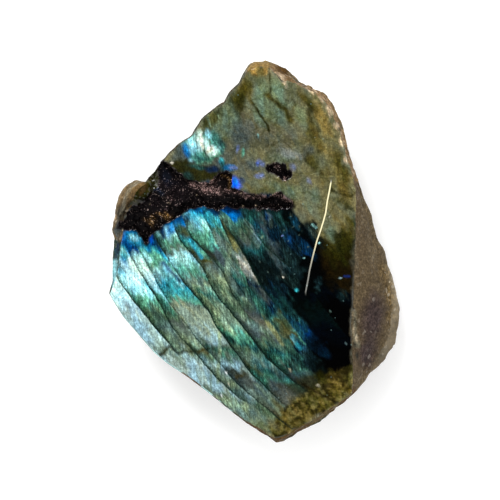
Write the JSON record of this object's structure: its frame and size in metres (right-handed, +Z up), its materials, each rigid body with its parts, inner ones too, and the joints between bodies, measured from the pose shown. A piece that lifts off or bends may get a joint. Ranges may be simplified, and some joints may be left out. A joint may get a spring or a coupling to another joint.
{
  "type": "rough labradorite chunk",
  "caption": "Rough chunk of labradorite lying on a flat cleavage facet, with one flat polished face up that shows a blue-green flash, broken ledges round its sides and a crumbly hollow.",
  "frame": {"origin": "on the resting facet's plane, under the centre of the stone's box", "axes": "+Z up, out of the polished face, which is the shortest extent; +Y along the stone's length, towards the chipped tip; +X across the face, towards the sloping break"},
  "size_m": [0.0636, 0.0835, 0.024],
  "materials": {
    "labradorite": "one polished face with a blue-green flash, rough broken sides"
  },
  "bodies": {
    "root": {"labradorite_chunk": "labradorite"}
  },
  "joints": []
}
